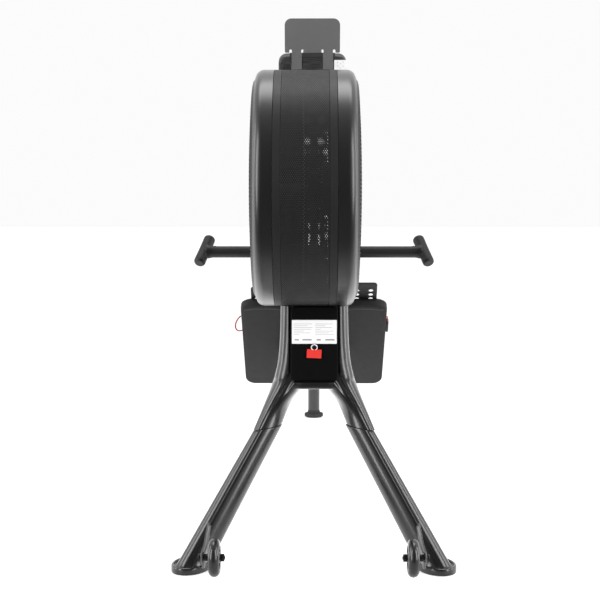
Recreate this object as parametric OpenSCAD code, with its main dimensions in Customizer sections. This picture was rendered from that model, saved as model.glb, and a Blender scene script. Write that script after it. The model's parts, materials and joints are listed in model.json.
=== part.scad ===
/* [Overall] */
// Length from the fan drum's front to the rail's rear end
overall_length = 2286; // [2240:1:2340]
// Width over the two front foot pads
stance_width = 610; // [580:1:640]
// Height of the rail's running surface
rail_top = 440; // [436:1:446]

/* [Fan drum] */
// Radius of the drum
drum_r = 256; // [253:1:258]
// Sideways offset of the drum from the centre plane
drum_x = -18; // [-20:0.5:-16]
// Height of the fan axle
drum_z = 816; // [812:1:820]
// Half width of the band between the rims
band_half = 67; // [62:1:70]
// Number of fan blades
blade_count = 18; // [12:1:24]

/* [Front legs] */
// Height of the seam between column and legs
seam_z = 290; // [275:1:300]
// Angle in plan of each leg's long axis
leg_turn = 38; // [32:1:44]
// Diameter of a transport wheel
wheel_d = 80; // [76:1:82]

/* [Footrests] */
// Distance of each footrest's centre line from the centre plane
footrest_x = 122; // [118:1:126]
// Width of one footboard
footboard_w = 116; // [110:1:118]
// Length of one footboard along its slope
footboard_l = 316; // [306:1:322]
// Pitch of the heel plate's holes
heel_pitch = 15; // [14:1:16]

/* [Handle] */
// Height of the handle's bar
handle_z = 663; // [660:1:668]
// Distance between the centres of the two end grips
handle_span = 534; // [500:1:560]

/* [Seat] */
// Width of the seat pad
seat_w = 260; // [240:1:280]
// Distance of the resting seat behind the front feet
seat_back = 1500; // [1300:1:1600]

/* [Hidden] */

$fn = 48;
running = 0.05;                      // radial clearance of a turning part on its pin
clear = 0.3;                         // clearance between parts that move past each other
drum_y = -overall_length / 2 + drum_r;
foot_y = drum_y - 120;
rear_end = overall_length / 2;
drum_wall = 3;
shoulder_r = 20;                     // rounding of the drum's rims
shoulder_d = 88;                     // its centre, from the drum's middle plane
axle_r = 8.5;
bearing_r = 17.5;
fan_r = 230;
pad_h = 16;
pad_b = 40;                          // shorter semi-axis of a foot pad
pad_x = 41.45;                       // half its width across the machine
leg_foot = [-256, 0, pad_h];       // centre of the left leg's foot, from the foot line
leg_head = [-66, 130, 353];          // centre of the left leg's head, from the foot line
column_half = 78;
column_front = 92;                   // distances behind the foot line
column_back = 232;
column_low = 400;                    // full width begins here; the crotch hangs lower
crotch_z = 378;
wheel_x = 206;
wheel_y = -95;
wheel_z = 52.5;
wheel_w = 24;
wheel_bolt_r = 4;
spool_r = 36;
belt_w = 18;
belt_t = 2;
roller_r = 14;
mast_y = 402;                        // middle of the mast, and of the guide roller in it
mast_top = 890;
guide_z = handle_z + roller_r + belt_t / 2 + clear;
handle_y = 470;
grip_r = 14;
bar_r = 11;
tilt_y = 455;                        // hinge of the console
tilt_z = 995;
tilt_lean = 20;
console_x = -4;
console_half = 81;
console_low = -50;
console_high = 139.5;
spine_low = 380;
spine_high = 432;
spine_half = 24.7;
spine_end = 760;
rail_start = 600;
rail_low = 374;
flange_half = 42;
flange_low = 430.5;
track_t = 1.5;
heel_y = 690;
heel_z = 309;
board_t = 24;
plate_v = 19;                        // depth of the heel plate's channel in the board
plate_w = 64;
strap_u = 226;
strap_w = 45;
crossbar_u = 157;
crossbar_r = 17;
track_roller_r = 16;
under_roller_r = 10;
wheelbase = 130;
carriage_top = 480;
rear_leg_y = 2075;
painted_black = [0.07, 0.07, 0.08];
shell_black = [0.05, 0.05, 0.055];
dark_grey = [0.2, 0.2, 0.2];
rubber_black = [0.03, 0.03, 0.03];
steel = [0.6, 0.6, 0.62];
rail_grey = [0.45, 0.46, 0.48];
signal_red = [0.75, 0.05, 0.06];

// Y of a place that lies this far behind the front feet
function behind(d) = foot_y + d;
// Points of an ellipse turned in its plane
function ellipse_points(a, b, turn, n = 40) = [for (i = [0:n - 1])
    let (t = 360 * i / n, u = a * cos(t), v = b * sin(t))
    [u * cos(turn) - v * sin(turn), u * sin(turn) + v * cos(turn)]];
// Points of an arc
function arc(cx, cy, r, from, to, n = 8) = [for (i = [0:n])
    let (t = from + (to - from) * i / n) [cx + r * cos(t), cy + r * sin(t)]];
// Points of a rectangle with round corners, centred on the origin
function round_rect(w, h, r) = concat(
    arc(w / 2 - r, h / 2 - r, r, 0, 90), arc(-w / 2 + r, h / 2 - r, r, 90, 180),
    arc(-w / 2 + r, -h / 2 + r, r, 180, 270), arc(w / 2 - r, -h / 2 + r, r, 270, 360));

// A cylinder along X with its middle at this place
module along_x(x, y, z, r, l) translate([x, y, z]) rotate([0, 90, 0]) cylinder(r = r, h = l, center = true);
// A box given by its two corners, with Y measured behind the front feet
module box(x0, x1, d0, d1, z0, z1) translate([x0, behind(d0), z0]) cube([x1 - x0, d1 - d0, z1 - z0]);
// Makes a left-hand shape (negative X) for either side
module sided(side) mirror([side < 0 ? 0 : 1, 0, 0]) children();
// A vertical plate in the XZ plane with round corners, between two depths
module plate_y(w, z0, z1, r, y0, y1) translate([0, y1, (z0 + z1) / 2]) rotate([90, 0, 0])
    linear_extrude(y1 - y0) polygon(round_rect(w, z1 - z0, r));

/* Front legs and feet */

// A thin slice of the left leg at a height, made smaller all round by inset
module leg_slice(z, inset = 0) {
    s = (z - leg_foot[2]) / (leg_head[2] - leg_foot[2]);
    centre = leg_foot + s * (leg_head - leg_foot);
    translate([centre[0], behind(centre[1]), z]) linear_extrude(0.5)
        polygon(ellipse_points(41 - 10 * s - inset, 27 - 8 * s - inset, leg_turn, 30));
}
module leg_solid(low, high, inset = 0) hull() {
    leg_slice(low, inset);
    leg_slice(high - 0.5, inset);
}
module leg(side) color(painted_black) sided(side) difference() {
    leg_solid(pad_h, seam_z);
    leg_solid(pad_h - 5, seam_z + 5, 4);
}
module left_leg() leg(-1);
module right_leg() leg(1);

module foot_pad(side) color(rubber_black) sided(side) translate([pad_x - stance_width / 2, foot_y + 10, 0]) {
    linear_extrude(pad_h - 4) polygon(ellipse_points(58, pad_b, 75, 48));
    translate([0, 0, pad_h - 4]) linear_extrude(4) polygon(ellipse_points(54, pad_b - 4, 75, 48));
}
module left_foot_pad() foot_pad(-1);
module right_foot_pad() foot_pad(1);

module wheel_bracket() difference() {
    translate([-wheel_x - 27, foot_y, 0]) rotate([90, 0, 90]) linear_extrude(5)
        polygon([[14, 104], [-6, 104], [-92, 70], [-109, 56], [-109, 46], [-96, 36], [-20, 24], [14, 24]]);
    leg_solid(pad_h, seam_z);
    along_x(-wheel_x - 25, behind(wheel_y), wheel_z, wheel_bolt_r + 0.2, 20);
}
module wheel_brackets() color(steel) for (side = [-1, 1]) sided(side) wheel_bracket();

// Shank, head, spacer and nut of one wheel's axle bolt
module wheel_axle_bolt() {
    y = behind(wheel_y);
    along_x(-wheel_x - 4, y, wheel_z, wheel_bolt_r, 56);
    along_x(-wheel_x - 30, y, wheel_z, 7, 6);
    along_x(-wheel_x - 17.5, y, wheel_z, 7, 9);
    along_x(-wheel_x + 16.5, y, wheel_z, 7, 7);
}
module wheel_axle_bolts() color(rubber_black) for (side = [-1, 1]) sided(side) wheel_axle_bolt();

module transport_wheel(side) color(rubber_black) sided(side)
    translate([-wheel_x, behind(wheel_y), wheel_z]) rotate([0, 90, 0]) rotate_extrude()
        polygon(concat([[wheel_bolt_r + running, -12], [13, -12], [13, -4], [27, -4], [27, -9]],
            arc(wheel_d / 2 - 12, 0, 12, -70, 70), [[27, 9], [27, 4], [13, 4], [13, 12],
            [wheel_bolt_r + running, 12]]));
module left_transport_wheel() transport_wheel(-1);
module right_transport_wheel() transport_wheel(1);

/* Column: a hollow casting that carries the drum and splits into two leg stubs */

module column_block(half, front, back, low, high, r)
    translate([0, behind((front + back) / 2), low]) linear_extrude(high - low)
        polygon(round_rect(2 * half, back - front, r));
module leg_stub() hull() {
    leg_slice(seam_z);
    leg_slice(leg_head[2]);
    translate([-50, behind(152), column_low]) linear_extrude(2) polygon(round_rect(56, 120, 19));
}
module front_column() color(painted_black) difference() {
    union() {
        column_block(column_half, column_front, column_back, column_low, 600, 19);
        column_block(45, column_front + 1, column_back - 10, crotch_z, column_low + 10, 19);
        for (side = [-1, 1]) sided(side) leg_stub();
    }
    along_x(0, drum_y, drum_z, drum_r, 400);
    column_block(55, 60, column_front + 7, 393, 700, 3);
    column_block(60, column_front + 20, column_back - 10, 340, 530, 4);
}
module column_cover() color(shell_black) column_block(52, column_front + 2, column_front + 7, 397, 546, 2);
module rating_label() color("white") box(-49, 51, column_front + 1.4, column_front + 2, 478, 530);
// A tag, its tie, and the screw it hangs on
module hang_tag() color(signal_red) {
    box(-15, 18, column_front - 3, column_front - 1.6, 447, 466);
    translate([0, behind(column_front - 2.4), 470]) rotate([90, 0, 0]) rotate_extrude()
        translate([6, 0]) circle(r = 0.9, $fn = 16);
    translate([0, behind(column_front + 2), 474]) rotate([90, 0, 0]) cylinder(r = 3.5, h = 5);
}

/* Fan drum: a band, two rounded rims and two domed grilles */

// Turns an outline of [radius, distance from the middle plane] about the fan axle
module drum_turned(side, points) translate([drum_x, drum_y, drum_z]) mirror([side < 0 ? 1 : 0, 0, 0])
    rotate([0, 90, 0]) rotate_extrude($fn = 96) polygon(points);
module belt_slot() box(-14, 14, 300, 400, 660, 712);
module drum_band() color(dark_grey) difference() {
    along_x(drum_x, drum_y, drum_z, drum_r, 2 * band_half);
    along_x(drum_x, drum_y, drum_z, drum_r - drum_wall, 2 * band_half + 10);
    belt_slot();
}
shoulder_out = arc(drum_r - shoulder_r, shoulder_d, shoulder_r, 0, 75);
shoulder_in = arc(drum_r - shoulder_r, shoulder_d, shoulder_r - drum_wall, 75, 0);
module drum_rim(side) color(shell_black) drum_turned(side, concat([[drum_r, band_half]],
    shoulder_out, shoulder_in, [[drum_r - drum_wall, band_half]]));
module left_drum_rim() drum_rim(-1);
module right_drum_rim() drum_rim(1);
// A domed guard with rings of slots
module side_grille(side) color(shell_black) difference() {
    drum_turned(side, concat([shoulder_in[0], shoulder_out[8], [235, 111.1]],
        [for (r = [188:-47:0]) [r, 111.5 + 9 * (1 - pow(r / 235, 2))]],
        [for (r = [0:47:188]) [r, 109.5 + 9 * (1 - pow(r / 235, 2))]], [[233, 109.5], [238, 104.5]]));
    for (turn = [0:20:340]) translate([drum_x, drum_y, drum_z]) rotate([turn, 0, 0]) {
        translate([side < 0 ? -130 : 100, -7, 60]) cube([30, 14, 62]);
        translate([side < 0 ? -130 : 100, -11, 134]) cube([30, 22, 84]);
    }
}
module left_side_grille() side_grille(-1);
module right_side_grille() side_grille(1);

/* Inside the drum: a yoke holds the axle; fan, belt spool and return spring sit side by side on it */

module axle_yoke() color(painted_black) difference() {
    union() {
        intersection() {
            box(-84, 48, 70, 170, 550, 580);
            along_x(0, drum_y, drum_z, drum_r - drum_wall, 400);
        }
        box(-110, 80, 70, 170, 572, 580);
        for (x = [-110, 74]) {
            translate([x, drum_y, 0]) rotate([90, 0, 90]) linear_extrude(6)
                polygon([[-50, 574], [50, 574], [24, drum_z], [-24, drum_z]]);
            along_x(x + 3, drum_y, drum_z, 26, 6);
        }
    }
    along_x(0, drum_y, drum_z, bearing_r, 400);
}
module fan_bearings() color(steel) for (x = [-107, 77]) difference() {
    along_x(x, drum_y, drum_z, bearing_r, 10);
    along_x(x, drum_y, drum_z, axle_r + running, 20);
}
module speed_sensor() color(dark_grey) box(-104, -99, 106, 134, 745, 765);
module return_spring_case() color(painted_black) difference() {
    along_x(46, drum_y, drum_z, 58, 56);
    along_x(46, drum_y, drum_z, 55, 51);
    along_x(30, drum_y, drum_z, 15, 40);
    along_x(70, drum_y, drum_z, bearing_r, 20);
}
module fan_axle() color(steel) along_x(-15, drum_y, drum_z, axle_r, 206);
module fan_wheel() color(dark_grey) difference() {
    union() {
        along_x(-60, drum_y, drum_z, 30, 76);
        along_x(-24, drum_y, drum_z, fan_r - 4, 4);
        for (i = [0:blade_count - 1]) translate([-92, drum_y, drum_z]) rotate([360 * i / blade_count, 0, 0])
            translate([0, -1.5, 70]) cube([68, 3, fan_r - 70.2]);
    }
    along_x(-60, drum_y, drum_z, axle_r, 100);
}
module belt_spool() color(steel) difference() {
    union() {
        along_x(0, drum_y, drum_z, spool_r - 8, 2 * 12);
        for (x = [-11.5, 11.5]) along_x(x, drum_y, drum_z, 46, 3);
        along_x(20, drum_y, drum_z, 14, 30);
    }
    along_x(0, drum_y, drum_z, axle_r + running, 100);
}
module belt_coil() color(rubber_black) difference() {
    along_x(0, drum_y, drum_z, spool_r, belt_w);
    along_x(0, drum_y, drum_z, spool_r - 8, belt_w + 2);
}
// The belt leaves the spool's underside and bends round the guide roller's underside
belt_run = [mast_y - 120, guide_z - drum_z];                   // from spool centre to roller centre
belt_len = norm(belt_run);
belt_dir = belt_run / belt_len;
belt_sin = (spool_r - roller_r) / belt_len;
belt_normal = sqrt(1 - belt_sin * belt_sin) * [belt_dir[1], -belt_dir[0]] + belt_sin * belt_dir;
belt_turn = atan2(belt_normal[1], belt_normal[0]);             // direction of the contact point, downwards
// Points of the belt's bend round the roller, at a radius, ending straight below the roller
function belt_bend(r, steps) = [for (i = steps)
    let (a = belt_turn + (-90 - belt_turn) * i / 6) belt_run + r * [cos(a), sin(a)]];
module drive_belt() color(rubber_black) translate([-belt_w / 2, drum_y, drum_z])
    rotate([90, 0, 90]) linear_extrude(belt_w) polygon(concat(
        [(spool_r + clear) * belt_normal], belt_bend(roller_r + clear, [0:6]),
        belt_bend(roller_r + clear + belt_t, [6:-1:0]), [(spool_r + clear + belt_t) * belt_normal]));

/* Mast: a channel behind the drum for the guide roller, the handle's rest and the console's arm */

module console_mast() color(painted_black) difference() {
    union() {
        box(-25, 25, mast_y - 20, mast_y + 20, spine_high, mast_top);
        translate([-9, behind(mast_y), mast_top - 12]) rotate([-23.5, 0, 0])
            translate([0, -8, 0]) cube([18, 16, 127]);
        along_x(0, behind(tilt_y), tilt_z, 12, 24);
    }
    box(-20, 20, mast_y - 15, mast_y + 15, spine_high - 5, mast_top - 18);
    box(-14, 14, mast_y - 30, mast_y + 30, 650, 735);
    along_x(0, behind(mast_y), guide_z, 4, 80);
    along_x(0, behind(tilt_y), tilt_z, 5 + running, 60);
}
module roller_pin() color(steel) along_x(0, behind(mast_y), guide_z, 4, 56);
module guide_roller() color(dark_grey) difference() {
    along_x(0, behind(mast_y), guide_z, roller_r, 24);
    along_x(0, behind(mast_y), guide_z, 4 + running, 40);
}
module handle_rest() color(dark_grey) {
    box(-75, 75, mast_y + 20, mast_y + 26, 620, handle_z - grip_r - 2);
    for (x = [-75, 55]) difference() {
        box(x, x + 20, mast_y + 20, handle_y + 18, 622, handle_z - 6);
        translate([x - 1, behind(handle_y), handle_z]) rotate([0, 90, 0])
            cylinder(r = grip_r + clear, h = 22);
        box(x - 1, x + 21, handle_y, handle_y + 30, handle_z - grip_r - clear, handle_z + 20);
    }
}

/* Spine and rail */

module rear_spine() color(painted_black) difference() {
    box(-spine_half, spine_half, column_back, spine_end, spine_low, spine_high);
    box(-spine_half + 4, spine_half - 4, column_back + 6, spine_end + 10, spine_low + 4, spine_high - 4);
    crossbar_rod(crossbar_r);
}
module seat_rail() color(rail_grey) difference() {
    union() {
        box(-28, 28, rail_start, 2146, rail_low, rail_top - track_t);
        box(-flange_half, flange_half, rail_start, 2146, flange_low, rail_top - track_t);
    }
    box(-25, 25, rail_start - 5, 2160, spine_low, spine_high + 0.5);
}
module rail_tracks() color(steel) for (x = [-flange_half, 24])
    box(x, x + 18, rail_start + 40, 2120, rail_top - track_t, rail_top);
module rail_stops() color(rubber_black) for (d = [697.5, 2048.5])
    box(-16, 16, d, d + 14, rail_top - track_t, 462);
module rail_end_cap() color(rubber_black) {
    translate([0, rear_end, 0]) rotate([90, 0, 0]) linear_extrude(4) {
        translate([-43, 425]) square([86, 16]);
        translate([-29, rail_low - 1]) square([58, 54]);
    }
    box(-24.8, 24.8, 2126, 2148, spine_low, spine_high);
}
module rear_leg() color(painted_black) {
    translate([0, behind(rear_leg_y), 20]) difference() {
        cylinder(r = 21, h = rail_low - 26);
        translate([0, 0, -1]) cylinder(r = 18.5, h = rail_low - 40);
    }
    box(-28, 28, rear_leg_y - 60, rear_leg_y + 60, rail_low - 6, rail_low);
}
module rear_foot() color(rubber_black) translate([0, behind(rear_leg_y), 0]) rotate_extrude()
    polygon([[0, 0], [31.5, 0], [33.5, 2], [33.5, 14], [25, 20], [18.5, 20], [18.5, 40], [0, 40]]);
// Button heads along the rail's joint and under the rear leg's plate
module frame_bolts() color(steel) {
    for (x = [-30, 30], d = [640, 720]) along_x(x, behind(d), 400, 7, 4);
    for (x = [-18, 18], d = [-50, 50]) translate([x, behind(rear_leg_y + d), rail_low - 10])
        cylinder(r = 6, h = 4);
}

/* Footrests: sloping boards on a crossbar; their heel plates slide along them */

// Local frame of a footboard: Z runs up the slope, Y stands off the board's back
module footboard_frame(side) translate([side * footrest_x, behind(heel_y), heel_z])
    rotate([45, 0, 0]) children();
module crossbar_rod(r) along_x(0, behind(heel_y - (crossbar_u + crossbar_r) * cos(45)),
    heel_z + (crossbar_u - crossbar_r) * sin(45), r, 168);
module footrest_crossbar() color(painted_black) difference() {
    crossbar_rod(crossbar_r);
    crossbar_rod(crossbar_r - 3);
}
module footboard(side) color(dark_grey) difference() {
    footboard_frame(side) difference() {
        union() {
            intersection() {
                plate_y(footboard_w, 0, footboard_l, 20, -1, board_t + 1);
                translate([-70, 0, 0]) rotate([90, 0, 90]) linear_extrude(140)
                    polygon([[0, 0], [board_t, 0], [board_t, footboard_l], [14, footboard_l],
                        [5, footboard_l - 5], [0, footboard_l - 16]]);
            }
            translate([side < 0 ? 38 : -58, -2 * crossbar_r - 3, crossbar_u - 22])
                cube([20, 2 * crossbar_r + 4, 44]);
        }
        translate([-plate_w / 2 - clear, plate_v, -5]) cube([plate_w + 2 * clear, 10, footboard_l + 10]);
    }
    crossbar_rod(crossbar_r);
}
module left_footboard() footboard(-1);
module right_footboard() footboard(1);

// Webbing over the foot, down both edges of the board
module foot_strap(side) color(signal_red) footboard_frame(side)
    translate([0, 0, strap_u - strap_w / 2]) linear_extrude(strap_w) polygon(concat(
        [for (t = [0:6:180]) [(footboard_w / 2 + 3) * cos(t), board_t + 60 * sin(t)]],
        [[-footboard_w / 2 - 3, 5], [-footboard_w / 2, 5]],
        [for (t = [180:-6:0]) [footboard_w / 2 * cos(t), board_t + 57 * sin(t)]],
        [[footboard_w / 2, 5], [footboard_w / 2 + 3, 5]]));
module left_foot_strap() foot_strap(-1);
module right_foot_strap() foot_strap(1);

// A perforated plate with a heel cup, set this far along from the highest hole
module heel_plate(side, set) color(dark_grey) footboard_frame(side) translate([0, 0, set]) {
    difference() {
        plate_y(plate_w, 15, 375, 8, plate_v + clear, plate_v + 4.3);
        for (x = [-17, 17], i = [1:12]) translate([x, 0, 362 - i * heel_pitch])
            rotate([-90, 0, 0]) cylinder(r = 6, h = 40);
    }
    translate([0, plate_v + 4, 66]) rotate([-90, 0, 0]) cylinder(r = 30, h = 3);
    difference() {
        translate([0, board_t + clear, 66]) rotate([-90, 0, 0]) cylinder(r = 40, h = 46);
        translate([0, board_t + 3, 66]) rotate([-90, 0, 0]) cylinder(r = 36, h = 60);
        translate([-50, board_t - 2, 78]) cube([100, 80, 60]);
    }
}
module left_heel_plate() heel_plate(-1, -heel_pitch);
module right_heel_plate() heel_plate(1, 0);

/* Handle */

module handle_bar() color(steel) {
    along_x(0, behind(handle_y), handle_z, bar_r, handle_span - 10);
    box(-14, 14, handle_y - 16, handle_y + 14, handle_z - 15, handle_z + 15);
}
module handle_grips() color(rubber_black) for (x = [-134, 134]) difference() {
    along_x(x, behind(handle_y), handle_z, grip_r, 232);
    along_x(x, behind(handle_y), handle_z, bar_r, 240);
}
module end_grips() color(rubber_black) for (side = [-1, 1]) sided(side)
    translate([-handle_span / 2, behind(handle_y), handle_z + 3]) rotate([0, 135, 246.5]) {
        cylinder(r = 13.5, h = 58, center = true);
        for (z = [-29, 29]) translate([0, 0, z]) sphere(r = 13.5);
    }
module pull_belt() color(rubber_black) box(-belt_w / 2, belt_w / 2, mast_y + 0.4, handle_y - 16,
    handle_z - belt_t / 2, handle_z + belt_t / 2);

/* Seat: a pad on a carriage whose rollers hold the rail's flange from above and below */

module seat_carriage() color(painted_black) {
    box(-60, 60, seat_back - 95, seat_back + 95, carriage_top - 6, carriage_top);
    for (x = [-50, 46]) box(x, x + 4, seat_back - 88, seat_back + 88, 408, carriage_top - 6);
    for (d = [-88, 83]) box(-46, 46, seat_back + d, seat_back + d + 5, 450, carriage_top - 6);
    for (d = [-1, 1])
        along_x(0, behind(seat_back + d * wheelbase / 2), rail_top + track_roller_r + clear, 4, 96);
    for (x = [-39.5, 39.5]) along_x(x, behind(seat_back), flange_low - under_roller_r - clear, 4, 18);
}
module roller_pair(d, z, r, x, w) for (side = [-1, 1]) difference() {
    along_x(side * x, behind(d), z, r, w);
    along_x(side * x, behind(d), z, 4 + running, w + 2);
}
module front_rollers() color(rubber_black)
    roller_pair(seat_back - wheelbase / 2, rail_top + track_roller_r + clear, track_roller_r, 34, 16);
module rear_rollers() color(rubber_black)
    roller_pair(seat_back + wheelbase / 2, rail_top + track_roller_r + clear, track_roller_r, 34, 16);
module under_rollers() color(rubber_black)
    roller_pair(seat_back, flange_low - under_roller_r - clear, under_roller_r, 36.5, 11);
module seat_pad() color(rubber_black) difference() {
    translate([0, behind(seat_back), carriage_top]) linear_extrude(34) polygon(round_rect(seat_w, 240, 62));
    for (x = [-60, 60]) translate([x, behind(seat_back + 6), 687]) sphere(r = 182, $fn = 64);
}

/* Console with its phone holder */

// Local frame of the console: origin at the tilt hinge, Y towards the rower, Z up the housing
module console_frame() translate([console_x, behind(tilt_y), tilt_z]) rotate([tilt_lean, 0, 0]) children();
module console_back() color(shell_black) {
    console_frame() {
        difference() {
            plate_y(2 * console_half, console_low, console_high, 20, 16, 34);
            plate_y(2 * console_half - 5, console_low + 2.5, console_high - 2.5, 18, 18.5, 40);
        }
        for (z = [100:6:130]) translate([-22, 15, z]) cube([44, 1.5, 2.5]);
    }
    difference() {
        for (x = [-18.3, 12.3]) translate([x, behind(tilt_y), tilt_z]) rotate([tilt_lean, 0, 0]) {
            translate([0, 0, -12]) cube([6, 16.5, 24]);
            rotate([0, 90, 0]) cylinder(r = 12, h = 6);
        }
        along_x(0, behind(tilt_y), tilt_z, 5, 60);
    }
    along_x(0, behind(tilt_y), tilt_z, 5, 40);
}
button_places = [[-34, -22], [34, -22]];
module console_front() color(dark_grey) console_frame() difference() {
    plate_y(2 * console_half, console_low, console_high, 20, 34, 46);
    plate_y(2 * console_half - 5, console_low + 2.5, console_high - 2.5, 18, 30, 43);
    plate_y(122, 12, 122, 5, 40, 50);
    for (p = button_places) translate([p[0], 30, p[1]]) rotate([-90, 0, 0]) cylinder(r = 9.4, h = 30);
}
module display_lens() color([0.2, 0.25, 0.22]) console_frame() {
    plate_y(121.5, 12.2, 121.8, 5, 43, 45);
    plate_y(130, 8, 126, 5, 40.5, 43);
}
module push_button(p) color(dark_grey) console_frame() translate([p[0], 0, p[1]]) rotate([-90, 0, 0]) {
    translate([0, 0, 38.5]) cylinder(r = 12, h = 2);
    translate([0, 0, 40]) cylinder(r = 9, h = 8);
}
module menu_button() push_button(button_places[0]);
module select_button() push_button(button_places[1]);
module phone_holder() color([0.4, 0.4, 0.4]) console_frame() difference() {
    union() {
        plate_y(131, 148, 230, 16, 14, 16);
        for (x = [-49.5, 25]) translate([x, 14, 108]) cube([24.5, 2, 44]);
        translate([-22, 14, 148]) cube([44, 30, 2]);
        translate([-22, 42, 148]) cube([44, 2, 14]);
    }
    for (x = [-51.8, -23.4, 23.4, 51.8]) {
        for (z = [149, 153]) translate([x, 10, z]) rotate([-90, 0, 0]) cylinder(r = 3, h = 8);
        translate([x - 3, 10, 149]) cube([6, 8, 4]);
    }
}

front_column();
column_cover();
left_leg();
right_leg();
left_foot_pad();
right_foot_pad();
wheel_brackets();
wheel_axle_bolts();
left_transport_wheel();
right_transport_wheel();
drum_band();
left_drum_rim();
right_drum_rim();
left_side_grille();
right_side_grille();
axle_yoke();
fan_bearings();
speed_sensor();
return_spring_case();
fan_axle();
fan_wheel();
belt_spool();
belt_coil();
drive_belt();
guide_roller();
roller_pin();
console_mast();
handle_rest();
rear_spine();
seat_rail();
rail_tracks();
rail_stops();
rail_end_cap();
rear_leg();
rear_foot();
frame_bolts();
footrest_crossbar();
left_footboard();
right_footboard();
left_foot_strap();
right_foot_strap();
left_heel_plate();
right_heel_plate();
handle_bar();
handle_grips();
end_grips();
pull_belt();
seat_carriage();
seat_pad();
front_rollers();
rear_rollers();
under_rollers();
console_back();
console_front();
display_lens();
phone_holder();
menu_button();
select_button();
rating_label();
hang_tag();
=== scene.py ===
import json
from math import atan2, copysign, cos, exp, hypot, pi, radians, sin, sqrt

import bmesh
import bpy
import numpy as np
from mathutils import Matrix, Vector

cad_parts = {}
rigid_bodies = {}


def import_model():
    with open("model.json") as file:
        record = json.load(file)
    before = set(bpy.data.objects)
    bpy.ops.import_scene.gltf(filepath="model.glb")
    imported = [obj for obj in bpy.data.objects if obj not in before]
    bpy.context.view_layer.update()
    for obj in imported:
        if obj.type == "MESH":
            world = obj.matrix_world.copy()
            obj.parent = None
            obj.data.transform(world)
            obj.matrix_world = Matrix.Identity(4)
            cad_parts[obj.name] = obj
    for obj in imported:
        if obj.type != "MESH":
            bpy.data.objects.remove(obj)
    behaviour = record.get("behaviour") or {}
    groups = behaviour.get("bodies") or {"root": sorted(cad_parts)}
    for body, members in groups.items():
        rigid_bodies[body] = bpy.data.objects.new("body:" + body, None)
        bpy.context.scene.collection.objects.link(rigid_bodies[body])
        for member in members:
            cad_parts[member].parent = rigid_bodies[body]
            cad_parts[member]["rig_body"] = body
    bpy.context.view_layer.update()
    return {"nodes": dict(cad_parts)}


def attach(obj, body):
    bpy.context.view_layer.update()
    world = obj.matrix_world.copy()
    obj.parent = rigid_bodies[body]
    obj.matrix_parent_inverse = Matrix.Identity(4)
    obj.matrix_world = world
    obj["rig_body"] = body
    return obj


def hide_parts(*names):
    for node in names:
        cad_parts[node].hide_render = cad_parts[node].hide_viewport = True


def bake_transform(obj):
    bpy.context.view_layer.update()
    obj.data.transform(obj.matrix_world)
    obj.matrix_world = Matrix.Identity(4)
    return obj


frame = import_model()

# ---------------- coordinates, in mm
FOOT_Y = -1007.0                     # the front feet, in the row frame
DRUM = (-18.0, 120.0, 816.0)         # drum centre: x, distance behind the feet, height
BAND_R = 255.6                       # radius of the perforated band
SIDES = ((-1, "left"), (1, "right"))


def at(x, d, z):
    """A point given in mm, with d measured behind the front feet, as metres in the row frame."""
    return Vector((x, d + FOOT_Y, z)) * 0.001


def smooth(t):
    t = min(1.0, max(0.0, t))
    return t * t * (3 - 2 * t)


# ---------------- materials
def feed(tree, target, inputs):
    """Sets a node's inputs: a socket is linked, anything else becomes the input's value."""
    for key, value in inputs.items():
        if isinstance(value, bpy.types.NodeSocket):
            tree.links.new(value, target.inputs[key])
        else:
            target.inputs[key].default_value = value


def node(tree, kind, inputs, output=0, **settings):
    """Adds a shader node and returns one of its outputs."""
    made = tree.nodes.new("ShaderNode" + kind)
    for key, value in settings.items():
        setattr(made, key, value)
    feed(tree, made, inputs)
    return made.outputs[output]


def calc(tree, operation, *values):
    return node(tree, "Math", dict(enumerate(values)), operation=operation)


def mixed(tree, factor, a, b, kind="RGBA", blend="MIX"):
    return node(tree, "Mix", {"Factor": factor, "A": a, "B": b}, "Result", data_type=kind, blend_type=blend)


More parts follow.
